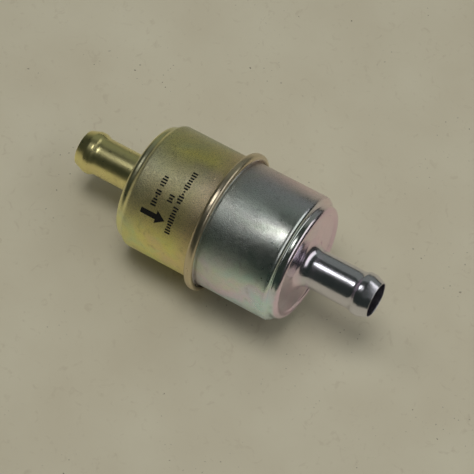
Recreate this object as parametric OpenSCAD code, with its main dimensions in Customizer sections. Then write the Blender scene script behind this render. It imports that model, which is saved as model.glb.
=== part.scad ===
// In-line metal fuel filter: two drawn steel cups joined by a rolled hem, with a pleated
// paper element held on its seat by a coil spring.
// The axis of the filter is X. Fuel flows from the inlet spigot at -X to the outlet spigot
// at +X. The origin is on the axis, halfway between the two spigot tips.

/* [Spigots] */
// Distance between the two spigot tips
overall_length = 107.2; // [104:0.2:112]
// Outside diameter of each straight spigot, which takes a 1/2 inch hose
spigot_d = 12.7; // [12.6:0.1:12.8]
// Outside diameter of the hose bead
bead_d = 14.2; // [13.6:0.1:14.6]
// Width of the straight crest of the bead
bead_land = 1; // [0.6:0.1:1.4]
// Length of the rise from the straight spigot to the bead
bead_rise = 2.8; // [2.4:0.1:3.2]
// Radius of the rounded edges of the bead's crest
crest_r = 1.8; // [1.4:0.1:2]
// Length of the nose from the bead to the tip
bead_nose = 3.6; // [3:0.1:4.2]
// Outside diameter at the tip
tip_d = 11.9; // [11.7:0.1:12.1]
// Radius of the fillet where the spigot leaves the end face
neck_fillet = 3.8; // [3:0.1:4.6]

/* [Cups] */
// Thickness of the drawn steel sheet
sheet = 0.8; // [0.7:0.05:0.85]
// Outside diameter of the inlet cup
inlet_cup_d = 42; // [41.6:0.1:42.4]
// Outside diameter of the outlet cup
outlet_cup_d = 42.5; // [42.2:0.1:42.8]
// Outside diameter of the step ring round each end face
step_d = 38.8; // [38.4:0.1:39.2]
// Distance from the seam to the crest of each end rim
rim_x = 29.4; // [29:0.1:29.8]
// Length of the step ring, from the groove to the crest of the rim
step_length = 2.2; // [2:0.1:2.5]
// Depth of the end face below the crest of its rim
dish_depth = 0.6; // [0.4:0.05:0.8]
// Radius of the rounded shoulder of each cup
shoulder_r = 1.7; // [1.5:0.1:2]
// Radius of the groove between shoulder and step ring
groove_r = 0.75; // [0.7:0.05:0.9]
// Radius of the rounded rim of each end face
rim_r = 1.7; // [1.5:0.1:1.9]

/* [Hem] */
// Outside diameter of the rolled hem
hem_d = 47.4; // [47:0.1:47.8]
// Radius of the hem's two outer corners
hem_corner = 1.2; // [1.1:0.05:1.3]
// Thickness of the gasket inside the hem
seam_gasket_t = 0.5; // [0.4:0.05:0.6]
// Height of the hem's turned-down edge, from its tip to where its corner begins
hem_lip = 0.25; // [0.25:0.05:0.4]

/* [Element] */
// Outside diameter of the two end caps
cap_d = 34.4; // [33:0.1:35]
// Sheet thickness of the end caps
cap_t = 0.5; // [0.4:0.05:0.6]
// Height of the turned edge of each end cap
cap_edge = 3; // [2.5:0.1:3.5]
// Thickness of each plastisol bed
potting_t = 2; // [1.6:0.1:2.2]
// Thickness of the ring that seals the open cap on its seat
seat_gasket_t = 1.3; // [1.1:0.1:1.5]
// Number of pleats in the filter paper
pleats = 36; // [32:1:38]
// Thickness of the filter paper
paper_t = 0.35; // [0.3:0.05:0.4]
// Outside diameter of the pleated paper
media_d = 32.6; // [31:0.1:32.8]
// Outside diameter of the perforated core tube
core_d = 14; // [13.6:0.1:14.2]
// Wall thickness of the core tube
core_t = 0.4; // [0.3:0.05:0.5]
// Diameter of each hole in the core tube
core_hole_d = 2.6; // [2:0.1:3]
// Number of rows of holes along the core tube
core_rows = 9; // [6:1:10]

/* [Spring] */
// Mean diameter of the coil spring
spring_d = 24; // [23.6:0.1:24.6]
// Diameter of the spring wire
wire_d = 1.2; // [1:0.1:1.4]
// Length of the seated spring
spring_length = 6.7; // [6.2:0.1:7]
// Number of turns, with a closed turn at each end
spring_turns = 3; // [2.5:0.5:3.5]

/* [Hidden] */

$fn = 96;
// Segments in a quarter turn of a profile arc
quarter = 8;

gold = [0.70, 0.64, 0.40];
silver = [0.76, 0.77, 0.78];
steel = [0.62, 0.63, 0.65];
nitrile = [0.10, 0.10, 0.11];
plastisol = [0.72, 0.36, 0.14];
paper = [0.86, 0.78, 0.56];

spigot_r = spigot_d / 2;
bore_r = spigot_r - sheet;
bead_r = bead_d / 2;
tip_r = tip_d / 2;
tip_x = overall_length / 2;
step_r = step_d / 2;
groove_x = rim_x - step_length;
face_x = rim_x - dish_depth;
inner_face_x = face_x - sheet;

// Radius of the hollow where the rim meets the end face
face_hollow_r = 0.6;
// Radius of the fillet between the inlet cup's wall and its flange
inlet_fillet = 0.6;
// Size of the small chamfers on the cut edges of the sheet
edge_round = 0.2;

// The hem, from -X to +X: cup flange, gasket, outlet flange, turned-down edge
hem_start_x = -1.5;
gasket_x = hem_start_x + sheet;
flange_x = gasket_x + seam_gasket_t;
hem_turn_x = flange_x + sheet;
hem_end_x = hem_turn_x + sheet;
hem_r = hem_d / 2;
// The gasket ends where the hem's corners begin, and the chamfered flange a little beyond
crown_r = hem_r - hem_corner;
flange_r = crown_r + edge_round;
hem_edge_r = crown_r - hem_lip;
// The fillet between the outlet cup's wall and its flange ends just inside the turned-down edge
lip_gap = 0.05;
outlet_fillet = hem_edge_r - lip_gap - outlet_cup_d / 2;

// The element, from the seat back towards the inlet
cap_r = cap_d / 2;
core_r = core_d / 2;
media_r = media_d / 2;
// Gap between the core tube and the inner folds of the paper
fold_gap = 0.6;
fold_r = core_r + fold_gap;
outlet_cap_x = inner_face_x - seat_gasket_t;
media_end_x = outlet_cap_x - cap_t - potting_t;
spring_start_x = -inner_face_x;
inlet_cap_x = spring_start_x + spring_length;
media_start_x = inlet_cap_x + cap_t + potting_t;
// Boss on the closed cap that centres the spring, with a gap round it inside the coil
boss_gap = 0.4;
boss_r = spring_d / 2 - wire_d / 2 - boss_gap;
boss_h = 1.2;
// Clearance between the spring and the two faces that it presses on
spring_clear = 0.02;
// Radii of the ring that seals the open cap on the end face
seat_inner_r = 10.6;
seat_outer_r = 14.8;
// Half widths of one pleat: outside and inside faces of the paper
pleat_half = 0.55;
pleat_gap_half = pleat_half - paper_t;

// Points of an arc about [cx, cr], from angle a0 to angle a1 in the [x, radius] plane
function arc(cx, cr, r, a0, a1) =
    let (n = max(2, ceil(quarter * abs(a1 - a0) / 90)))
    [for (i = [0:n]) let (a = a0 + (a1 - a0) * i / n) [cx + r * cos(a), cr + r * sin(a)]];

// Turning angle of an S-bend of two arcs with radii that add to r_sum, for one offset
function s_angle(offset, r_sum) = acos(1 - offset / r_sum);

function reversed(points) = [for (i = [len(points) - 1:-1:0]) points[i]];

// One surface of a cup from its shoulder to the foot of its spigot, at depth t below the
// outside. Rounded corners lose t and hollow corners gain it, so the sheet stays even.
function cup_surface(cup_r, t) =
    let (
        a = s_angle(cup_r - step_r, shoulder_r + groove_r),
        shoulder_x = groove_x - (shoulder_r + groove_r) * sin(a),
        b = s_angle(dish_depth, rim_r + face_hollow_r),
        rim_cr = step_r - rim_r,
        hollow_cr = rim_cr - (rim_r + face_hollow_r) * sin(b)
    )
    concat(
        arc(shoulder_x, cup_r - shoulder_r, shoulder_r - t, 90, 90 - a),
        reversed(arc(groove_x, step_r + groove_r, groove_r + t, 270, 270 - a)),
        arc(rim_x - rim_r, rim_cr, rim_r - t, 90, -b),
        reversed(arc(face_x + face_hollow_r, hollow_cr, face_hollow_r + t, 180, 180 - b)),
        arc(face_x + neck_fillet, spigot_r + neck_fillet, neck_fillet + t, 180, 270)
    );

// Outside of the spigot from its foot to its tip: a smooth rise, the crest, and a conical
// nose that leaves the crest's rounded edge as a tangent
function spigot_surface() =
    let (
        nose_x = tip_x - bead_nose,
        crest_x = nose_x - bead_land,
        a = 2 * atan((bead_r - spigot_r) / bead_rise),
        foot_r = bead_rise / sin(a) - crest_r,
        to_tip = [bead_nose, tip_r - bead_r + crest_r],
        c = 90 - atan2(to_tip[1], to_tip[0]) - acos(crest_r / norm(to_tip))
    )
    concat(
        arc(crest_x - bead_rise, spigot_r + foot_r, foot_r, 270, 270 + a),
        reversed(arc(crest_x, bead_r - crest_r, crest_r, 90, 90 + a)),
        arc(nose_x, bead_r - crest_r, crest_r, 90, 90 - c),
        [[tip_x, tip_r], [tip_x, bore_r + edge_round], [tip_x - edge_round, bore_r]]
    );

// Cup and spigot in one outline, starting and ending at its flange
module cup_profile(cup_r, flange_outside, flange_inside) {
    polygon(concat(
        flange_outside,
        cup_surface(cup_r, 0),
        spigot_surface(),
        reversed(cup_surface(cup_r, sheet)),
        flange_inside
    ));
}

// Revolves an [x, radius] outline about the X axis
module about_x() {
    rotate([90, 0, 90]) rotate_extrude() rotate([0, 0, 90]) mirror([0, 1]) children();
}

module ring(x0, x1, r_in, r_out) {
    translate([x0, 0, 0]) rotate([0, 90, 0]) difference() {
        cylinder(h = x1 - x0, r = r_out);
        translate([0, 0, -1]) cylinder(h = x1 - x0 + 2, r = r_in);
    }
}

// Gold cup: its rim folds over the other cup's flange and back down, as the hem
module inlet_shell() {
    cup_r = inlet_cup_d / 2;
    // In this outline x runs from the seam towards the inlet
    foot_x = -hem_start_x + inlet_fillet;
    foot_r = cup_r + inlet_fillet;
    turn_x = -hem_end_x + hem_corner;
    back_x = -hem_start_x - hem_corner;
    hem_outside = concat(
        [[-hem_end_x + edge_round, hem_edge_r], [-hem_end_x, hem_edge_r + edge_round]],
        arc(turn_x, crown_r, hem_corner, 180, 90),
        arc(back_x, crown_r, hem_corner, 90, 0),
        reversed(arc(foot_x, foot_r, inlet_fillet, 270, 180))
    );
    hem_inside = concat(
        arc(foot_x, foot_r, inlet_fillet + sheet, 270, 180),
        arc(back_x, crown_r, hem_corner - sheet, 0, 90),
        arc(turn_x, crown_r, hem_corner - sheet, 90, 180),
        [[-hem_turn_x, hem_edge_r]]
    );
    color(gold) mirror([1, 0, 0]) about_x() cup_profile(cup_r, hem_outside, hem_inside);
}

// Silver cup: its flat flange is held in the hem
module outlet_shell() {
    cup_r = outlet_cup_d / 2;
    foot_x = hem_turn_x + outlet_fillet;
    foot_r = cup_r + outlet_fillet;
    flange_outside = concat(
        [[hem_turn_x - edge_round, flange_r], [hem_turn_x, crown_r]],
        reversed(arc(foot_x, foot_r, outlet_fillet, 270, 180))
    );
    flange_inside = concat(
        arc(foot_x, foot_r, outlet_fillet + sheet, 270, 180),
        [[flange_x, flange_r]]
    );
    color(silver) about_x() cup_profile(cup_r, flange_outside, flange_inside);
}

module seam_gasket() {
    color(nitrile) ring(gasket_x, flange_x, inlet_cup_d / 2 + inlet_fillet, crown_r);
}

module seat_gasket() {
    color(nitrile) ring(outlet_cap_x, inner_face_x, seat_inner_r, seat_outer_r);
}

// Coil spring, swept as one closed skin along a helix whose end turns lie flat
module element_spring() {
    wire_r = wire_d / 2;
    steps_per_turn = 24;
    sides = 8;
    steps = spring_turns * steps_per_turn;
    low_x = spring_start_x + wire_r + spring_clear;
    high_x = inlet_cap_x - wire_r - spring_clear;
    // A closed turn at each end rises by one wire, and the turns between rise evenly
    closed = wire_d + spring_clear;
    open_rise = high_x - low_x - 2 * closed;
    open_steps = steps - 2 * steps_per_turn;
    function coil_x(i) =
        i < steps_per_turn ? low_x + closed * i / steps_per_turn
        : i > steps - steps_per_turn ? high_x - closed * (steps - i) / steps_per_turn
        : low_x + closed + open_rise * (i - steps_per_turn) / open_steps;
    skin = [
        for (i = [0:steps], k = [0:sides - 1])
        let (
            turn = 360 * i / steps_per_turn,
            around = 360 * k / sides,
            r = spring_d / 2 + wire_r * cos(around)
        )
        [coil_x(i) + wire_r * sin(around), r * cos(turn), r * sin(turn)]
    ];
    side_faces = [
        for (i = [0:steps - 1], k = [0:sides - 1])
        let (next = (k + 1) % sides)
        [i * sides + k, i * sides + next, (i + 1) * sides + next, (i + 1) * sides + k]
    ];
    start_face = [for (k = [sides - 1:-1:0]) k];
    end_face = [for (k = [0:sides - 1]) steps * sides + k];
    color(steel) polyhedron(points = skin, faces = concat([start_face], side_faces, [end_face]));
}

// Closed cap: dished steel disc with a turned edge, and a boss for the spring
module inlet_end_cap() {
    x0 = inlet_cap_x;
    color(steel) about_x() polygon(concat(
        [[x0 - boss_h, 0]],
        arc(x0 - boss_h + cap_t, boss_r - cap_t, cap_t, 180, 90),
        [[x0, boss_r]],
        arc(x0 + cap_t, cap_r - cap_t, cap_t, 180, 90),
        [
            [x0 + cap_edge, cap_r], [x0 + cap_edge, cap_r - cap_t],
            [x0 + cap_t, cap_r - cap_t], [x0 + cap_t, boss_r - cap_t],
            [x0 - boss_h + cap_t, boss_r - cap_t], [x0 - boss_h + cap_t, 0]
        ]
    ));
}

// Open cap: the same dished disc, with a hole as wide as the core tube
module outlet_end_cap() {
    x0 = outlet_cap_x;
    hole_r = core_r - core_t;
    color(steel) about_x() polygon(concat(
        [[x0, hole_r]],
        reversed(arc(x0 - cap_t, cap_r - cap_t, cap_t, 90, 0)),
        [
            [x0 - cap_edge, cap_r], [x0 - cap_edge, cap_r - cap_t],
            [x0 - cap_t, cap_r - cap_t], [x0 - cap_t, hole_r]
        ]
    ));
}

// Plastisol bed in the closed cap. It also fills the boss and closes the end of the core.
module inlet_potting() {
    bed_x = inlet_cap_x + cap_t;
    color(plastisol) difference() {
        about_x() polygon([
            [bed_x - boss_h, 0], [bed_x - boss_h, boss_r - cap_t], [bed_x, boss_r - cap_t],
            [bed_x, cap_r - cap_t], [media_start_x, cap_r - cap_t], [media_start_x, 0]
        ]);
        ring(bed_x, media_start_x + 1, core_r - core_t, core_r);
    }
}

module outlet_potting() {
    color(plastisol) ring(media_end_x, outlet_cap_x - cap_t, core_r, cap_r - cap_t);
}

// Outline of the pleated star at one face of the paper: each pleat is a finger
function star(tip, valley, half) = [
    for (i = [0:pleats - 1], p = [[valley, -half], [tip, -half], [tip, half], [valley, half]])
    let (a = 360 * i / pleats)
    [p[0] * cos(a) - p[1] * sin(a), p[0] * sin(a) + p[1] * cos(a)]
];

module filter_media() {
    color(paper) translate([media_start_x, 0, 0]) rotate([90, 0, 90])
        linear_extrude(height = media_end_x - media_start_x) difference() {
            polygon(star(media_r, fold_r + paper_t, pleat_half));
            polygon(star(media_r - paper_t, fold_r, pleat_gap_half));
        }
}

// Steel strip folded over the outside of one pleat, where the paper's two ends meet
module media_seam_clip() {
    strip_t = 0.25;
    grip = 2.5;
    fit_gap = 0.02;
    inside = pleat_half + fit_gap;
    length = media_end_x - media_start_x;
    outside_r = media_r + fit_gap + strip_t;
    color(steel) translate([media_start_x, 0, 0]) difference() {
        translate([0, outside_r - grip, -inside - strip_t])
            cube([length, grip, 2 * (inside + strip_t)]);
        translate([-1, outside_r - grip - 1, -inside])
            cube([length + 2, grip + 1 - strip_t, 2 * inside]);
    }
}

// Perforated core tube: alternate rows of holes are turned by half a space
module centre_tube() {
    start_x = inlet_cap_x + cap_t;
    end_x = outlet_cap_x - cap_t;
    pitch = (media_end_x - media_start_x) / core_rows;
    holes_round = 6;
    space = 360 / holes_round;
    color(steel) difference() {
        ring(start_x, end_x, core_r - core_t, core_r);
        for (row = [0:core_rows - 1], hole = [0:holes_round - 1])
            translate([media_start_x + pitch * (row + 0.5), 0, 0])
                rotate([space * (hole + row % 2 / 2), 0, 0])
                    translate([0, 0, core_r - core_t - 1])
                        cylinder(h = core_t + 2, d = core_hole_d, $fn = 32);
    }
}

inlet_shell();
outlet_shell();
seam_gasket();
seat_gasket();
element_spring();
inlet_end_cap();
outlet_end_cap();
inlet_potting();
outlet_potting();
filter_media();
media_seam_clip();
centre_tube();
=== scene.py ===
"""Looks of an in-line metal fuel filter: a gold and a silver drawn cup joined by a rolled hem.

The axis is X, from the inlet at -X to the outlet at +X. Lengths below are in millimetres and
become metres when a mesh is made. Outlines are lists of [x, radius] points.
"""
import math
import random

import bmesh
import bpy
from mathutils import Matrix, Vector


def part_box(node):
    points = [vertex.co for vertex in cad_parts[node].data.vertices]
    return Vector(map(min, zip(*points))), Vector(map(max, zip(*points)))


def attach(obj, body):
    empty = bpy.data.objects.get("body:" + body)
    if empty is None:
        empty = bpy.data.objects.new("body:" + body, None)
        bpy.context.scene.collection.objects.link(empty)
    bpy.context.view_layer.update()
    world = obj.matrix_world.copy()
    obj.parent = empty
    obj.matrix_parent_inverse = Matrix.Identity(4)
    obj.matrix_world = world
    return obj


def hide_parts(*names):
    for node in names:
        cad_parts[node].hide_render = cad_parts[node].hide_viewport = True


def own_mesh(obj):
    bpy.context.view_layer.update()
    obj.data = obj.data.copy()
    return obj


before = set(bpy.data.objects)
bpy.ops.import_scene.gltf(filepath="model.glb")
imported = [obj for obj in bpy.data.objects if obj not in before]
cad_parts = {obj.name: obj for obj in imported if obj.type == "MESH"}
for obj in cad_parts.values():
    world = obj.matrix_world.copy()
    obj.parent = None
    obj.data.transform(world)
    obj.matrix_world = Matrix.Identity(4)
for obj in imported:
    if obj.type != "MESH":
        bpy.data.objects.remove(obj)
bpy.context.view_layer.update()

MM = 0.001

# ---------------------------------------------------------------- sizes, as in the design
TIP_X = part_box("outlet_shell")[1].x / MM
HEM_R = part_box("inlet_shell")[1].z / MM
SPIGOT_R = 6.35
BEAD_R = 7.1
BEAD_LAND = 1.0
BEAD_RISE = 2.8
BEAD_NOSE = 3.6
CREST_R = 1.8
TIP_R = 5.95
TIP_ROUND = 0.12
NECK_FILLET = 3.8
SHEET = 0.8
INLET_CUP_R = 21.0
OUTLET_CUP_R = 21.25
STEP_R = 19.4
RIM_X = 29.4
GROOVE_X = 27.2
FACE_X = 28.8
SHOULDER_R = 1.7
GROOVE_R = 0.75
RIM_R = 1.7
FACE_HOLLOW_R = 0.6
EDGE_ROUND = 0.2
INLET_FILLET = 0.6
HEM_CORNER = 1.2
HEM_LIP = 0.25
HEM_START_X = -1.5
GASKET_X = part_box("seam_gasket")[0].x / MM
FLANGE_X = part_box("seam_gasket")[1].x / MM
HEM_TURN_X = FLANGE_X + SHEET
HEM_END_X = HEM_TURN_X + SHEET
CROWN_R = HEM_R - HEM_CORNER
FLANGE_R = CROWN_R + EDGE_ROUND
HEM_EDGE_R = CROWN_R - HEM_LIP
# The outlet cup's fillet ends this far inside the hem's turned-down edge
LIP_GAP = 0.05
OUTLET_FILLET = HEM_EDGE_R - LIP_GAP - OUTLET_CUP_R
BORE_R = SPIGOT_R - SHEET

# The element and its spring
CAP_R = 17.2
CAP_T = 0.5
CAP_EDGE = 3.0
BOSS_R = 11.0
BOSS_H = 1.2
CORE_R = 7.0
CORE_T = 0.4
MEDIA_R = 16.3
FOLD_R = 7.6
PLEATS = 36
PAPER_T = 0.35
PLEAT_HALF = 0.55
CLIP_T = 0.25
CLIP_GRIP = 2.5
CLIP_GAP = 0.02
SPRING_R = 12.0
WIRE_R = 0.6
SPRING_TURNS = 3
SPRING_CLEAR = 0.02
SEAT_INNER_R = 10.6
SEAT_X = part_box("seat_gasket")[1].x / MM
CLOSED_CAP_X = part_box("inlet_end_cap")[0].x / MM + BOSS_H
OPEN_CAP_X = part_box("outlet_end_cap")[1].x / MM
MEDIA_X0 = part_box("filter_media")[0].x / MM
MEDIA_X1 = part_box("filter_media")[1].x / MM

AROUND = 224      # segments round a turned piece
QUARTER = 14      # segments in a quarter turn of an outline's arc
LONGEST = 1.6     # longest straight step of an outline
WELD = 0.0005     # points closer than this are one point
LENGTHS = 24      # segments along the paper and its strip
CRISP = 32        # edges over this many degrees stay crisp
SHY = 0.01        # pieces that touch a neighbour stop this far short of it


# ---------------------------------------------------------------- camera
AZIMUTH = math.radians(32.1)
ELEVATION = math.radians(57.1)
DISTANCE = 0.690
LENS = 168.2
SENSOR = 36
# The camera aims a little right of and below the filter's middle
AIM_RIGHT = 0.00302
AIM_UP = -0.00461


def add_camera():
    """The camera, whose azimuth turns from -Y towards +X."""
    back = Vector((
        math.sin(AZIMUTH) * math.cos(ELEVATION),
        -math.cos(AZIMUTH) * math.cos(ELEVATION),
        math.sin(ELEVATION),
    ))
    right = Vector((math.cos(AZIMUTH), math.sin(AZIMUTH), 0))
    up = back.cross(right)
    camera = bpy.data.objects.new("camera", bpy.data.cameras.new("camera"))
    camera.data.lens = LENS
    camera.data.sensor_width = SENSOR
    camera.location = right * AIM_RIGHT + up * AIM_UP + back * DISTANCE
    camera.rotation_euler = back.to_track_quat("Z", "Y").to_euler()
    bpy.context.scene.collection.objects.link(camera)
    bpy.context.scene.camera = camera


# ---------------------------------------------------------------- outlines
def arc(cx, cr, r, a0, a1):
    """Points of an arc about (cx, cr), from angle a0 to angle a1 in degrees."""
    steps = max(2, math.ceil(QUARTER * abs(a1 - a0) / 90))
    angles = [math.radians(a0 + (a1 - a0) * i / steps) for i in range(steps + 1)]
    return [[cx + r * math.cos(a), cr + r * math.sin(a)] for a in angles]


def s_angle(offset, r_sum):
    """Turning angle of an S-bend of two arcs with radii that add to r_sum."""
    return math.degrees(math.acos(1 - offset / r_sum))


def cup_surface(cup_r, t):
    """One surface of a cup, at depth t below its outside, from shoulder to spigot foot."""
    a = s_angle(cup_r - STEP_R, SHOULDER_R + GROOVE_R)
    shoulder_x = GROOVE_X - (SHOULDER_R + GROOVE_R) * math.sin(math.radians(a))
    b = s_angle(RIM_X - FACE_X, RIM_R + FACE_HOLLOW_R)
    rim_cr = STEP_R - RIM_R
    hollow_cr = rim_cr - (RIM_R + FACE_HOLLOW_R) * math.sin(math.radians(b))
    return (
        arc(shoulder_x, cup_r - SHOULDER_R, SHOULDER_R - t, 90, 90 - a)
        + arc(GROOVE_X, STEP_R + GROOVE_R, GROOVE_R + t, 270 - a, 270)
        + arc(RIM_X - RIM_R, rim_cr, RIM_R - t, 90, -b)
        + arc(FACE_X + FACE_HOLLOW_R, hollow_cr, FACE_HOLLOW_R + t, 180 - b, 180)
        + arc(FACE_X + NECK_FILLET, SPIGOT_R + NECK_FILLET, NECK_FILLET + t, 180, 270)
    )


def spigot_surface():
    """Outside of a spigot from its foot to its tip: smooth rise, bead crest, conical nose."""
    nose_x = TIP_X - BEAD_NOSE
    crest_x = nose_x - BEAD_LAND
    a = 2 * math.degrees(math.atan((BEAD_R - SPIGOT_R) / BEAD_RISE))
    foot_r = BEAD_RISE / math.sin(math.radians(a)) - CREST_R
    # The nose is a cone that leaves the crest's rounded edge as a tangent
    drop = TIP_R - BEAD_R + CREST_R
    to_tip = math.hypot(BEAD_NOSE, drop)
    c = 90 - math.degrees(math.atan2(drop, BEAD_NOSE) + math.acos(CREST_R / to_tip))
    return (
        arc(crest_x - BEAD_RISE, SPIGOT_R + foot_r, foot_r, 270, 270 + a)
        + arc(crest_x, BEAD_R - CREST_R, CREST_R, 90 + a, 90)
        + arc(nose_x, BEAD_R - CREST_R, CREST_R, 90, 90 - c)
        + arc(TIP_X - TIP_ROUND, TIP_R - TIP_ROUND, TIP_ROUND, 90 - c, 0)
        + arc(TIP_X - EDGE_ROUND, BORE_R + EDGE_ROUND, EDGE_ROUND, 0, -90)
    )


def cup_outline(cup_r, flange_outside, flange_inside):
    """Cup and spigot in one outline, starting and ending at the flange."""
    return (
        flange_outside + cup_surface(cup_r, 0) + spigot_surface()
        + cup_surface(cup_r, SHEET)[::-1] + flange_inside
    )


def inlet_outline():
    """The gold cup, whose rim folds over the other cup's flange and back down as the hem."""
    # Up to its last line x runs from the seam towards the inlet
    foot_x = -HEM_START_X + INLET_FILLET
    foot_r = INLET_CUP_R + INLET_FILLET
    turn_x = -HEM_END_X + HEM_CORNER
    back_x = -HEM_START_X - HEM_CORNER
    inner = HEM_CORNER - SHEET
    outside = (
        arc(-HEM_END_X + EDGE_ROUND, HEM_EDGE_R + EDGE_ROUND, EDGE_ROUND, 270, 180)
        + arc(turn_x, CROWN_R, HEM_CORNER, 180, 90)
        + arc(back_x, CROWN_R, HEM_CORNER, 90, 0)
        + arc(foot_x, foot_r, INLET_FILLET, 180, 270)
    )
    inside = (
        arc(foot_x, foot_r, INLET_FILLET + SHEET, 270, 180)
        + arc(back_x, CROWN_R, inner, 0, 90)
        + arc(turn_x, CROWN_R, inner, 90, 180)
        + arc(-HEM_TURN_X - EDGE_ROUND, HEM_EDGE_R + EDGE_ROUND, EDGE_ROUND, 0, -90)
    )
    outline = cup_outline(INLET_CUP_R, outside, inside)
    return [[-x, r] for x, r in outline][::-1]


def outlet_outline():
    """The silver cup, whose flat flange is held in the hem."""
    foot_x = HEM_TURN_X + OUTLET_FILLET
    foot_r = OUTLET_CUP_R + OUTLET_FILLET
    outside = [[HEM_TURN_X - EDGE_ROUND, FLANGE_R], [HEM_TURN_X, CROWN_R]]
    outside += arc(foot_x, foot_r, OUTLET_FILLET, 180, 270)
    inside = arc(foot_x, foot_r, OUTLET_FILLET + SHEET, 270, 180) + [[FLANGE_X, FLANGE_R]]
    return cup_outline(OUTLET_CUP_R, outside, inside)


def ring_outline(x0, x1, r0, r1, corner):
    """Section of a ring, with its four corners rounded."""
    return (
        arc(x0 + corner, r1 - corner, corner, 180, 90)
        + arc(x1 - corner, r1 - corner, corner, 90, 0)
        + arc(x1 - corner, r0 + corner, corner, 0, -90)
        + arc(x0 + corner, r0 + corner, corner, 270, 180)
    )


def closed_cap_outline():
    """Dished disc with a turned edge, and a boss that centres the spring."""
    x0 = CLOSED_CAP_X
    boss_x = x0 - BOSS_H + CAP_T
    return (
        [[x0 - BOSS_H, 0]]
        + arc(boss_x, BOSS_R - CAP_T, CAP_T, 180, 90)
        + [[x0, BOSS_R]]
        + arc(x0 + CAP_T, CAP_R - CAP_T, CAP_T, 180, 90)
        + arc(x0 + CAP_EDGE - CAP_T / 2, CAP_R - CAP_T / 2, CAP_T / 2, 90, -90)
        + [[x0 + CAP_T, CAP_R - CAP_T], [x0 + CAP_T, BOSS_R - CAP_T]]
        + [[boss_x, BOSS_R - CAP_T], [boss_x, 0]]
    )


def open_cap_outline():
    """The same dished disc, with a hole as wide as the core tube."""
    x0 = OPEN_CAP_X
    hole_r = CORE_R - CORE_T
    return (
        arc(x0 - CAP_EDGE + CAP_T / 2, CAP_R - CAP_T / 2, CAP_T / 2, 270, 90)
        + arc(x0 - CAP_T, CAP_R - CAP_T, CAP_T, 90, 0)
        + arc(x0 - EDGE_ROUND, hole_r + EDGE_ROUND, EDGE_ROUND, 0, -90)
        + [[x0 - CAP_T, hole_r], [x0 - CAP_T, CAP_R - CAP_T]]
    )


def closed_bed_outline():
    """Plastisol in the closed cap and its boss, with a slot for the end of the core tube."""
    bed_x = CLOSED_CAP_X + CAP_T
    return [
        [bed_x - BOSS_H, 0], [bed_x - BOSS_H, BOSS_R - CAP_T], [bed_x, BOSS_R - CAP_T],
        [bed_x, CAP_R - CAP_T], [MEDIA_X0, CAP_R - CAP_T], [MEDIA_X0, CORE_R], [bed_x, CORE_R],
        [bed_x, CORE_R - CORE_T], [MEDIA_X0, CORE_R - CORE_T], [MEDIA_X0, 0],
    ]


def pleat_outline():
    """Cross-section of the pleated paper as two closed (y, z) outlines: its outside face and its
    inside face, with the outer folds rounded."""
    tip_r = MEDIA_R - PLEAT_HALF
    gap_half = PLEAT_HALF - PAPER_T
    space = 2 * math.pi / PLEATS
    faces = []
    for half, valley in ((PLEAT_HALF, FOLD_R + PAPER_T), (gap_half, FOLD_R)):
        line = []
        for k in range(PLEATS):
            turn = space * k
            finger = [(valley, -half)]
            finger += [(tip_r + half * math.cos(math.radians(a)), half * math.sin(math.radians(a)))
                       for a in range(-90, 91, 30)]
            finger += [(valley, half)]
            cos, sin = math.cos(turn), math.sin(turn)
            line += [(u * cos - v * sin, u * sin + v * cos) for u, v in finger]
        faces.append(line)
    return faces


def strip_outline():
    """U-shaped cross-section of the strip over one pleat, as a closed (y, z) outline."""
    inner = PLEAT_HALF + CLIP_GAP
    outer = inner + CLIP_T
    bend_y = MEDIA_R + CLIP_GAP + CLIP_T - outer
    low_y = MEDIA_R + CLIP_GAP + CLIP_T - CLIP_GRIP
    turns = [math.radians(a) for a in range(-90, 91, 15)]
    return (
        [(low_y, -outer)] + [(bend_y + outer * math.cos(a), outer * math.sin(a)) for a in turns]
        + [(low_y, outer), (low_y, inner)]
        + [(bend_y + inner * math.cos(a), inner * math.sin(a)) for a in turns[::-1]]
        + [(low_y, -inner)]
    )


def with_short_steps(outline):
    """The same outline, with each long straight step cut into short ones."""
    points = []
    for (x0, r0), (x1, r1) in zip(outline, outline[1:] + outline[:1]):
        cuts = max(1, math.ceil(math.hypot(x1 - x0, r1 - r0) / LONGEST))
        points += [[x0 + (x1 - x0) * i / cuts, r0 + (r1 - r0) * i / cuts] for i in range(cuts)]
    return points


# ---------------------------------------------------------------- meshes
def make_object(name, points, faces):
    """A smooth-shaded object with crisp edges, from points in millimetres."""
    mesh = bpy.data.meshes.new(name)
    mesh.from_pydata([[c * MM for c in p] for p in points], [], faces)
    # Points that fall together, as on the axis of a turned piece, become one
    welded = bmesh.new()
    welded.from_mesh(mesh)
    bmesh.ops.remove_doubles(welded, verts=welded.verts, dist=WELD * MM)
    bmesh.ops.delete(welded, geom=[v for v in welded.verts if not v.link_faces], context="VERTS")
    welded.to_mesh(mesh)
    welded.free()
    mesh.validate()
    mesh.shade_smooth()
    mesh.set_sharp_from_angle(angle=math.radians(CRISP))
    made = bpy.data.objects.new(name, mesh)
    bpy.context.scene.collection.objects.link(made)
    return made


def revolve(name, outline):
    """A closed outline turned about the X axis. The outline runs clockwise, seen with x to the
    right and r up."""
    outline = with_short_steps(outline)
    count = len(outline)
    points = []
    for k in range(AROUND):
        turn = 2 * math.pi * k / AROUND
        points += [(x, r * math.cos(turn), r * math.sin(turn)) for x, r in outline]
    faces = []
    for k in range(AROUND):
        here, there = k * count, (k + 1) % AROUND * count
        for i in range(count):
            j = (i + 1) % count
            faces.append((here + i, there + i, there + j, here + j))
    return make_object(name, points, faces)


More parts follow.
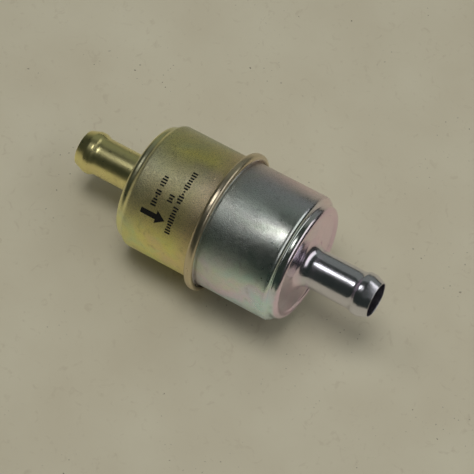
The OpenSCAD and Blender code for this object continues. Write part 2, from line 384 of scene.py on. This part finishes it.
def prism(name, outlines, x0, x1):
    """Closed (y, z) outlines drawn out along X. With two outlines the second is the inside face,
    and the ends are closed between them."""
    points, faces = [], []
    for outline in outlines:
        inside = outline is not outlines[0]
        first, count = len(points), len(outline)
        for s in range(LENGTHS + 1):
            x = x0 + (x1 - x0) * s / LENGTHS
            points += [(x, y, z) for y, z in outline]
        for s in range(LENGTHS):
            here, there = first + s * count, first + (s + 1) * count
            for i in range(count):
                j = (i + 1) % count
                quad = (here + i, there + i, there + j, here + j)
                faces.append(quad if inside else quad[::-1])
    count = len(outlines[0])
    last = LENGTHS * count
    if len(outlines) == 1:
        faces.append(tuple(range(count))[::-1])
        faces.append(tuple(range(last, last + count)))
    else:
        second = count * (LENGTHS + 1)
        for i in range(count):
            j = (i + 1) % count
            faces.append((second + i, second + j, j, i))
            faces.append((second + last + j, second + last + i, last + i, last + j))
    return make_object(name, points, faces)


def coil(name):
    """The spring: round wire along a helix whose two end turns lie flat."""
    steps_per_turn, sides = 72, 14
    steps = SPRING_TURNS * steps_per_turn
    low_x = -SEAT_X + WIRE_R + SPRING_CLEAR
    high_x = CLOSED_CAP_X - WIRE_R - SPRING_CLEAR
    # A closed turn at each end rises by one wire, and the turns between rise evenly
    closed = 2 * WIRE_R + SPRING_CLEAR
    open_rise = high_x - low_x - 2 * closed
    open_steps = steps - 2 * steps_per_turn
    points, faces = [], []
    for i in range(steps + 1):
        if i < steps_per_turn:
            x = low_x + closed * i / steps_per_turn
        elif i > steps - steps_per_turn:
            x = high_x - closed * (steps - i) / steps_per_turn
        else:
            x = low_x + closed + open_rise * (i - steps_per_turn) / open_steps
        turn = 2 * math.pi * i / steps_per_turn
        for k in range(sides):
            around = 2 * math.pi * k / sides
            r = SPRING_R + WIRE_R * math.cos(around)
            points.append((x + WIRE_R * math.sin(around), r * math.cos(turn), r * math.sin(turn)))
    for i in range(steps):
        here, there = i * sides, (i + 1) * sides
        for k in range(sides):
            m = (k + 1) % sides
            faces.append((here + k, there + k, there + m, here + m))
    faces.append(tuple(range(sides)))
    faces.append(tuple(range(steps * sides, (steps + 1) * sides))[::-1])
    return make_object(name, points, faces)


# ---------------------------------------------------------------- materials
def feed(tree, socket, value):
    """Links the value to an input if it is a socket, and sets it there if it isn't."""
    if isinstance(value, bpy.types.NodeSocket):
        tree.links.new(value, socket)
    else:
        socket.default_value = value


def add_node(tree, kind, inputs=None, **settings):
    """A shader node with its settings, and with each input fed."""
    made = tree.nodes.new(kind)
    for key, value in settings.items():
        setattr(made, key, value)
    for key, value in (inputs or {}).items():
        feed(tree, made.inputs[key], value)
    return made


def new_material(name, color, metallic, roughness):
    """(material, its node tree, its principled shader's inputs)."""
    made = bpy.data.materials.new(name)
    made.use_nodes = True
    sockets = made.node_tree.nodes["Principled BSDF"].inputs
    sockets["Base Color"].default_value = (*color, 1)
    sockets["Metallic"].default_value = metallic
    sockets["Roughness"].default_value = roughness
    return made, made.node_tree, sockets


def place(tree):
    """The point's own place in the filter's frame, in metres."""
    return add_node(tree, "ShaderNodeTexCoord").outputs["Object"]


def noise(tree, vector, scale, detail=2.0, distortion=0.0):
    """Smooth noise, mostly between 0.3 and 0.7, with `scale` features to the metre."""
    return add_node(
        tree, "ShaderNodeTexNoise",
        {"Vector": vector, "Scale": scale, "Detail": detail, "Distortion": distortion},
    ).outputs["Fac"]


def ramp(tree, fac, stops):
    """Colour ramp from (position, (r, g, b)) stops."""
    made = add_node(tree, "ShaderNodeValToRGB", {"Fac": fac})
    elements = made.color_ramp.elements
    while len(elements) < len(stops):
        elements.new(0.5)
    for element, (position, color) in zip(elements, stops):
        element.position = position
        element.color = (*color, 1)
    return made.outputs["Color"]


# Where the Mix node keeps its colour sockets
MIX_A, MIX_B, MIX_RESULT = 6, 7, 2


def mix(tree, a, b, factor, blend="MIX"):
    """Colour a, with a share of colour b given by the factor."""
    made = add_node(tree, "ShaderNodeMix", {0: factor}, data_type="RGBA", blend_type=blend)
    for index, value in ((MIX_A, a), (MIX_B, b)):
        feed(tree, made.inputs[index], (*value, 1) if isinstance(value, tuple) else value)
    return made.outputs[MIX_RESULT]


def spread(tree, fac, low, high, to_low, to_high):
    """The range from low to high spread over the range from to_low to to_high, and held there."""
    return add_node(
        tree, "ShaderNodeMapRange",
        {"Value": fac, "From Min": low, "From Max": high, "To Min": to_low, "To Max": to_high},
    ).outputs["Result"]


def maths(tree, operation, a, b=0.0):
    return add_node(tree, "ShaderNodeMath", {0: a, 1: b}, operation=operation).outputs[0]


def bump(tree, height, strength, distance, below=None):
    """Relief of a depth in metres, on top of any other relief."""
    inputs = {"Height": height, "Strength": strength, "Distance": distance}
    if below is not None:
        inputs["Normal"] = below
    return add_node(tree, "ShaderNodeBump", inputs).outputs["Normal"]


def axis_radius(tree, vector):
    """Distance from the filter's axis, in metres."""
    parts = add_node(tree, "ShaderNodeSeparateXYZ", {"Vector": vector}).outputs
    squares = [maths(tree, "POWER", parts[side], 2) for side in ("Y", "Z")]
    return maths(tree, "SQRT", maths(tree, "ADD", *squares))


def zinc(name, plain, places, patches, wall_r, shift, ends, smooth_x, drawn_rough):
    """Zinc-plated drawn sheet: grained on the cup's wall, smoother where it was drawn or rolled.

    The plating's colours and painted light: `places` go once round the axis, from underneath by
    way of the side that faces +Y to the top (0.5), the side that faces -Y (0.75) and back
    underneath, and besides interference colours they hold painted light: lighter low on the -Y
    side, where the metal mirrors the worktop. `patches` are interference colours that drift over
    the part, most of all low on the -Y side. `ends` are (x in mm where it begins, x where it is
    full, colour, share).
    `shift` moves the noise, so that two parts don't match. The wall loses some of its grain
    between the two `smooth_x`, and `drawn_rough` is the roughness of everything that isn't wall.
    """
    made, tree, sockets = new_material(name, plain, 1.0, 0.3)
    at = place(tree)
    parts = add_node(tree, "ShaderNodeSeparateXYZ", {"Vector": at}).outputs
    moved = add_node(tree, "ShaderNodeVectorMath", {0: at, 1: shift}, operation="ADD").outputs[0]

    # Interference colours, and painted light round the axis: lighter low on the -Y side, where the
    # worktop is mirrored
    drift = noise(tree, moved, 50, 1.5, 1.0)
    angle = maths(tree, "ARCTAN2", maths(tree, "MULTIPLY", parts["Y"], -1.0), parts["Z"])
    turn = spread(tree, angle, -math.pi, math.pi, 0.0, 1.0)
    wavy_turn = maths(tree, "ADD", turn, spread(tree, drift, 0.2, 0.8, -0.03, 0.03))
    small_drift = noise(tree, moved, 190, 2.0, 0.4)
    patchy = mix(tree, ramp(tree, drift, patches), ramp(tree, small_drift, patches), 0.25)
    patchy_share = spread(tree, turn, 0.64, 0.71, 0.16, 0.70)
    film_and_painted_light = mix(tree, ramp(tree, wavy_turn, places), patchy, patchy_share)
    for begin, full, color, most in ends:
        film_and_painted_light = mix(tree, film_and_painted_light, color, spread(tree, parts["X"], begin * MM, full * MM, 0.0, most))

    # Handling marks and dull spots
    stain = spread(tree, noise(tree, moved, 420, 3.0), 0.58, 0.74, 0.0, 0.28)
    color = mix(tree, film_and_painted_light, tuple(0.55 * c for c in plain), stain)

    # Only the cup's wall is rough: it lies within `margin` of its radius, with soft limits
    radius = axis_radius(tree, at)
    soft, margin = 0.1, 0.5
    not_above = spread(tree, radius, (wall_r + soft) * MM, (wall_r + margin) * MM, 1.0, 0.0)
    not_below = spread(tree, radius, (wall_r - margin) * MM, (wall_r - soft) * MM, 0.0, 1.0)
    begin, full = smooth_x
    grained = spread(tree, parts["X"], begin * MM, full * MM, 1.0, 0.6)
    on_wall = maths(tree, "MULTIPLY", maths(tree, "MULTIPLY", not_above, not_below), grained)

    # Painted shade in the grain's pits there, weaker on the low side that faces the worktop
    grain = noise(tree, moved, 3300, 2.0)
    pit_shade = maths(tree, "MULTIPLY", on_wall, spread(tree, grain, 0.32, 0.55, 0.58, 0.0))
    pit_shade = maths(tree, "MULTIPLY", pit_shade, spread(tree, turn, 0.62, 0.70, 1.0, 0.25))
    # The painted shade: the colour at about a third of its brightness
    pit_shaded = mix(tree, color, (0.35, 0.35, 0.35), 1.0, "MULTIPLY")
    feed(tree, sockets["Base Color"], mix(tree, color, pit_shaded, pit_shade))

    # Roughness: what the drawn parts have, and more on the wall
    low, high = drawn_rough - 0.04, drawn_rough + 0.04
    drawn = spread(tree, noise(tree, moved, 500, 2.0), 0.3, 0.7, low, high)
    extra = spread(tree, noise(tree, moved, 900, 3.0), 0.3, 0.7, 0.13, 0.22)
    rough = maths(tree, "ADD", drawn, maths(tree, "MULTIPLY", extra, on_wall))
    feed(tree, sockets["Roughness"], rough)

    # Relief: slow waves, the grain, which is much shallower off the wall, and a fine tooth
    waves = bump(tree, noise(tree, moved, 130, 1.5), 0.16, 0.10 * MM)
    depth = maths(tree, "MULTIPLY", grain, spread(tree, on_wall, 0.5, 1.0, 0.06, 1.0))
    grains = bump(tree, depth, 1.0, 0.115 * MM, waves)
    tooth = bump(tree, noise(tree, moved, 5200, 1.0), 0.2, 0.03 * MM, grains)
    feed(tree, sockets["Normal"], tooth)
    return made


def yellow_zinc():
    """The gold cup's plating colours, with painted light."""
    # Round the axis: interference colours with painted light, lighter from 0.66 to 0.75, low on
    # the side that faces -Y where the worktop is mirrored, and darker on the top (0.50)
    places = [
        (0.0, (0.80, 0.74, 0.38)), (0.36, (0.66, 0.68, 0.56)), (0.42, (0.84, 0.78, 0.40)),
        (0.46, (1.0, 0.90, 0.33)), (0.50, (0.68, 0.62, 0.36)), (0.545, (0.74, 0.69, 0.48)),
        (0.61, (0.78, 0.67, 0.35)), (0.66, (1.0, 0.87, 0.44)), (0.70, (1.0, 0.97, 0.42)),
        (0.75, (1.0, 0.97, 0.46)), (0.79, (0.78, 0.84, 0.42)), (1.0, (0.80, 0.74, 0.38)),
    ]
    patches = [
        (0.28, (0.66, 0.90, 0.60)), (0.40, (1.0, 0.97, 0.36)), (0.50, (1.0, 0.92, 0.34)),
        (0.60, (1.0, 0.78, 0.50)), (0.72, (0.74, 0.92, 0.70)),
    ]
    # Greener near the shoulder, rosier near the seam, browner on the hem, yellower at the neck
    ends = [
        (-17, -27, (0.74, 0.78, 0.56), 0.4), (-8, -3.5, (0.98, 0.74, 0.54), 0.45),
        (-2.4, -1.4, (0.66, 0.57, 0.44), 0.8), (-28.5, -31, (0.98, 0.86, 0.36), 0.6),
    ]
    # Its wall is grained all along: it only gets smoother beyond the other cup's tip
    smooth_x = (TIP_X, TIP_X + 1)
    return zinc("yellow_zinc", (0.84, 0.77, 0.40), places, patches, INLET_CUP_R,
                (0.013, 0.007, 0.021), ends, smooth_x, 0.31)


def clear_zinc():
    """The silver cup's plating colours, with painted light."""
    # Round the axis: interference colours with painted light, lighter and bluer from 0.67 to 0.80,
    # low on the side that faces -Y where the worktop is mirrored
    places = [
        (0.0, (0.70, 0.72, 0.78)), (0.37, (0.88, 0.70, 0.76)), (0.43, (0.74, 0.70, 0.78)),
        (0.50, (0.68, 0.73, 0.66)), (0.60, (0.70, 0.74, 0.68)), (0.67, (0.66, 0.84, 0.80)),
        (0.71, (0.72, 0.95, 1.0)), (0.755, (0.86, 0.92, 1.0)), (0.80, (0.88, 0.86, 1.0)),
        (1.0, (0.70, 0.72, 0.78)),
    ]
    patches = [
        (0.28, (0.60, 0.94, 0.86)), (0.38, (0.70, 0.95, 1.0)), (0.46, (0.86, 0.80, 1.0)),
        (0.54, (1.0, 0.80, 0.98)), (0.61, (0.94, 0.95, 0.80)), (0.70, (0.62, 0.95, 0.86)),
    ]
    # Darker near the seam, pink on the end face, bluer from the neck on
    ends = [
        (12, 3, (0.50, 0.55, 0.50), 0.40), (28.2, 28.9, (0.92, 0.68, 0.86), 0.75),
        (29.6, 31.5, (0.72, 0.75, 0.82), 0.8),
    ]
    smooth_x = (12, 23)
    return zinc("clear_zinc", (0.70, 0.74, 0.80), places, patches, OUTLET_CUP_R,
                (0.0, 0.0, 0.0), ends, smooth_x, 0.20)


def plain_steel(name, color, roughness, grain_scale, marks):
    """Bare or tinned steel: fine grain and a few darker handling marks."""
    made, tree, sockets = new_material(name, color, 1.0, roughness)
    at = place(tree)
    dull = spread(tree, noise(tree, at, 140, 3.0), 0.45, 0.7, 0.0, marks)
    feed(tree, sockets["Base Color"], mix(tree, color, tuple(0.5 * c for c in color), dull))
    grain = noise(tree, at, grain_scale, 2.0)
    rough = spread(tree, grain, 0.3, 0.7, roughness - 0.07, roughness + 0.07)
    feed(tree, sockets["Roughness"], rough)
    feed(tree, sockets["Normal"], bump(tree, grain, 0.15, 0.03 * MM))
    return made


def soft_material(name, light, dark, roughness, scale, depth):
    """Rubber, plastisol or paper: two near tones in a fine grain of this depth in mm."""
    made, tree, sockets = new_material(name, light, 0.0, roughness)
    at = place(tree)
    tone = noise(tree, at, scale, 4.0)
    feed(tree, sockets["Base Color"], ramp(tree, tone, [(0.3, dark), (0.7, light)]))
    fibre = noise(tree, at, scale * 6, 2.0)
    feed(tree, sockets["Normal"], bump(tree, fibre, 0.3, depth * MM))
    return made


def ink():
    """Dull black print, a little worn."""
    made, tree, sockets = new_material("mark_ink", (0.008, 0.008, 0.009), 0.0, 0.6)
    sockets["Specular IOR Level"].default_value = 0.2
    worn = noise(tree, place(tree), 3000, 3.0)
    tones = [(0.4, (0.006, 0.006, 0.007)), (0.8, (0.030, 0.028, 0.022))]
    feed(tree, sockets["Base Color"], ramp(tree, worn, tones))
    feed(tree, sockets["Normal"], bump(tree, worn, 0.2, 0.02 * MM))
    return made


def floor_material():
    """Pale painted worktop with faint scuffs, and a few dark specks in loose groups."""
    made, tree, sockets = new_material("floor", (0.55, 0.52, 0.41), 0.0, 0.75)
    at = place(tree)
    tones = [(0.3, (0.585, 0.535, 0.41)), (0.7, (0.64, 0.60, 0.47))]
    tone = ramp(tree, noise(tree, at, 30, 5.0), tones)
    scuffs = spread(tree, noise(tree, at, 240, 4.0, 1.5), 0.60, 0.74, 0.0, 0.5)
    tone = mix(tree, tone, (0.50, 0.44, 0.33), scuffs)
    groups = spread(tree, noise(tree, at, 38, 1.0), 0.52, 0.62, 0.0, 1.0)
    specks = spread(tree, noise(tree, at, 780, 1.0), 0.72, 0.77, 0.0, 0.75)
    tone = mix(tree, tone, (0.10, 0.08, 0.06), maths(tree, "MULTIPLY", groups, specks))
    feed(tree, sockets["Base Color"], tone)
    return made


# ---------------------------------------------------------------- studio
# The filter leans on its hem and on the silver cup's wall, which the worktop meets at this x
REST_X = 21.5
LEAN = math.atan((HEM_R - OUTLET_CUP_R) / REST_X)
# Gap in millimetres between the hem and the worktop
FLOOR_GAP = 0.05
# The worktop in metres. Its near edge is parallel to the picture's lower edge.
NEAR_EDGE = 0.19
FAR = 3.0
ROOM_COLOR = (0.022, 0.027, 0.023)
SKY_COLOR = (1.0, 0.98, 0.93)


def add_floor():
    down = Vector((math.sin(LEAN), 0, -math.cos(LEAN)))
    mesh = bpy.data.meshes.new("floor")
    near = Vector((math.sin(AZIMUTH), -math.cos(AZIMUTH), 0))
    right = Vector((math.cos(AZIMUTH), math.sin(AZIMUTH), 0))
    corners = [near * NEAR_EDGE - right * FAR, near * NEAR_EDGE + right * FAR,
               right * FAR - near * FAR, -right * FAR - near * FAR]
    mesh.from_pydata([tuple(c) for c in corners], [], [(0, 1, 2, 3)])
    floor = bpy.data.objects.new("floor", mesh)
    floor.location = down * (HEM_R + FLOOR_GAP) * MM
    floor.rotation_euler = (0, LEAN, 0)
    floor.data.materials.append(floor_material())
    bpy.context.scene.collection.objects.link(floor)


def add_lamp(name, lamp, place_m, color, mirrored):
    """A lamp at a place in metres, facing the filter. Metal shows it only if mirrored."""
    lamp.color = color
    made = bpy.data.objects.new(name, lamp)
    made.location = Vector(place_m)
    made.rotation_euler = Vector(place_m).to_track_quat("Z", "Y").to_euler()
    made.visible_camera = False
    made.visible_glossy = mirrored
    bpy.context.scene.collection.objects.link(made)


def add_area(name, place_m, size, watts, color, size_y=None):
    """A disc lamp or, with a second size, a rectangular one. Metal mirrors it."""
    lamp = bpy.data.lights.new(name, "AREA")
    lamp.shape = "RECTANGLE" if size_y else "DISK"
    lamp.size = size
    if size_y:
        lamp.size_y = size_y
    lamp.energy = watts
    add_lamp(name, lamp, place_m, color, True)


def add_sky(name, place_m, strength, degrees):
    """Even light from a round patch of sky. Metal doesn't mirror it."""
    lamp = bpy.data.lights.new(name, "SUN")
    lamp.energy = strength
    lamp.angle = math.radians(degrees)
    add_lamp(name, lamp, place_m, SKY_COLOR, False)


def add_world():
    world = bpy.data.worlds.new("room")
    world.use_nodes = True
    background = world.node_tree.nodes["Background"]
    background.inputs["Color"].default_value = (*ROOM_COLOR, 1)
    background.inputs["Strength"].default_value = 1.0
    bpy.context.scene.world = world
    bpy.context.scene.view_settings.view_transform = "Standard"


def add_studio():
    add_floor()
    add_world()
    # Soft light on the worktop, too even to show in the metal
    add_sky("soft_top", (0.05, -0.06, 1.0), 0.86, 27)
    add_sky("soft_dome", (0.0, 0.0, 1.0), 0.34, 100)
    # Lamps that the metal mirrors: a small near one, a window behind it, a long window beyond
    # the outlet, and the wall beyond the worktop
    add_area("near_lamp", (-0.053, -0.032, 0.243), 0.075, 0.054, (1.0, 1.0, 0.97))
    add_area("window", (-0.29, -0.15, 0.95), 0.62, 0.15, (1.0, 1.0, 0.93))
    add_area("outlet_window", (0.64, 0.16, 0.62), 1.5, 2.15, (1.0, 1.0, 0.97), 0.42)
    add_area("far_wall", (-0.30, 1.0, 0.68), 1.7, 0.88, (0.94, 1.0, 0.90), 1.1)


# ---------------------------------------------------------------- pieces
def finish_piece(made, material, slot, body, *nodes):
    """Material and body of a piece, and the CAD nodes that it replaces. Its slot is not used."""
    made.data.materials.clear()
    made.data.materials.append(material)
    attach(made, body)
    if nodes:
        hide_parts(*nodes)


def add_shells():
    finish_piece(revolve("inlet_cup", inlet_outline()), yellow_zinc(), "yellow_zinc",
                 "housing", "inlet_shell")
    finish_piece(revolve("outlet_cup", outlet_outline()), clear_zinc(), "clear_zinc",
                 "housing", "outlet_shell")


def add_seals():
    light, dark = (0.030, 0.030, 0.034), (0.016, 0.016, 0.018)
    nitrile = soft_material("nitrile", light, dark, 0.62, 900, 0.02)
    seam_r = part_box("seam_gasket")[1].z / MM
    seam = ring_outline(GASKET_X + SHY, FLANGE_X - SHY, INLET_CUP_R + INLET_FILLET + SHY,
                        seam_r - SHY, 0.12)
    finish_piece(revolve("seam_ring", seam), nitrile, "nitrile", "housing", "seam_gasket")
    seat_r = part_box("seat_gasket")[1].z / MM
    seat = ring_outline(OPEN_CAP_X + SHY, SEAT_X - SHY, SEAT_INNER_R, seat_r, 0.25)
    finish_piece(revolve("seat_ring", seat), nitrile, "nitrile", "element", "seat_gasket")


def add_element():
    tin = plain_steel("tinned_steel", (0.62, 0.63, 0.65), 0.30, 1800, 0.5)
    bed = soft_material("plastisol", (0.55, 0.20, 0.06), (0.44, 0.15, 0.045), 0.42, 220, 0.02)
    paper = soft_material("filter_paper", (0.80, 0.68, 0.42), (0.70, 0.57, 0.33), 0.85, 380, 0.04)
    finish_piece(revolve("closed_cap", closed_cap_outline()),
                 tin, "tinned_steel", "element", "inlet_end_cap")
    finish_piece(revolve("open_cap", open_cap_outline()),
                 tin, "tinned_steel", "element", "outlet_end_cap")
    finish_piece(revolve("closed_cap_bed", closed_bed_outline()),
                 bed, "plastisol", "element", "inlet_potting")
    ring = [[MEDIA_X1, CAP_R - CAP_T], [OPEN_CAP_X - CAP_T, CAP_R - CAP_T],
            [OPEN_CAP_X - CAP_T, CORE_R], [MEDIA_X1, CORE_R]]
    finish_piece(revolve("open_cap_bed", ring),
                 bed, "plastisol", "element", "outlet_potting")
    finish_piece(prism("pleated_paper", pleat_outline(), MEDIA_X0, MEDIA_X1),
                 paper, "filter_paper", "element", "filter_media")
    finish_piece(prism("seam_strip", [strip_outline()], MEDIA_X0, MEDIA_X1),
                 tin, "tinned_steel", "element", "media_seam_clip")
    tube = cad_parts["centre_tube"]
    tube.data.materials.clear()
    tube.data.materials.append(tin)


def add_spring():
    spring = coil("coil_spring")
    wire = plain_steel("spring_steel", (0.42, 0.43, 0.45), 0.24, 2600, 0.35)
    finish_piece(spring, wire, "spring_steel", "housing", "element_spring")
    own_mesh(spring)


# The print stands this far off the wall, and is this thick
INK_LIFT = 0.01
INK_THICK = 0.03


class Marks:
    """Thin ink patches on the inlet cup's wall, gathered in one mesh."""

    def __init__(self):
        self.points = []
        self.faces = []

    def patch(self, x0, x1, middle, half_width, rows=1, columns=4):
        """A patch from x0 to x1, centred on angle `middle`; half_width(x) is in millimetres."""
        top, low = [], []
        low_r = INLET_CUP_R + INK_LIFT
        for radius, layer in ((low_r + INK_THICK, top), (low_r, low)):
            for i in range(rows + 1):
                x = x0 + (x1 - x0) * i / rows
                for j in range(columns + 1):
                    across = half_width(x) * (2 * j / columns - 1)
                    angle = math.radians(middle) + across / INLET_CUP_R
                    layer.append(len(self.points))
                    self.points.append((x, -radius * math.sin(angle), radius * math.cos(angle)))
        wide = columns + 1
        for i in range(rows):
            for j in range(columns):
                a, d = i * wide + j, (i + 1) * wide + j
                b, c = a + 1, d + 1
                self.faces.append((top[a], top[b], top[c], top[d]))
                self.faces.append((low[d], low[c], low[b], low[a]))
        # Once round the patch's edge
        rim = (
            [j for j in range(columns)]
            + [i * wide + columns for i in range(rows)]
            + [rows * wide + j for j in range(columns, 0, -1)]
            + [i * wide for i in range(rows, 0, -1)]
        )
        for a, b in zip(rim, rim[1:] + rim[:1]):
            self.faces.append((top[b], top[a], low[a], low[b]))

    def build(self, name):
        made = make_object(name, self.points, self.faces)
        finish_piece(made, ink(), "mark_ink", "housing")


def add_marks():
    """A plain flow arrow, and rows of plain ticks that stand for the print beside it."""
    arrow = Marks()
    tail, neck, tip, middle = -20.6, -15.2, -12.0, 53.5
    shaft, head, point = 0.9, 2.2, 0.03
    arrow.patch(tail, neck, middle, lambda x: shaft, rows=4)
    arrow.patch(neck, tip, middle, lambda x: max(point, head * (tip - x) / (tip - neck)),
                rows=8, columns=8)
    arrow.build("flow_arrow")

    ticks = Marks()
    picks = random.Random(7)
    pitch = math.degrees(0.95 / INLET_CUP_R)
    half_width = 0.28
    # Half the height of each kind of tick along X
    half_heights = {"full": 0.92, "half": 0.7, "dot": 0.34, "gap": 0}
    # Rows: (x of the row's middle, first angle, last angle)
    for x, start, end in ((-17.4, 45.0, 14.5), (-12.9, 36.0, 27.0), (-10.1, 62.0, 1.0)):
        for i in range(int((start - end) / pitch)):
            kind = picks.choice(("full", "full", "full", "half", "half", "dot", "gap"))
            high = half_heights[kind]
            if high:
                middle = start - pitch * i
                ticks.patch(x - high, x + high, middle, lambda at: half_width, columns=2)
    ticks.build("printed_ticks")


add_camera()
add_studio()
add_shells()
add_seals()
add_element()
add_spring()
add_marks()
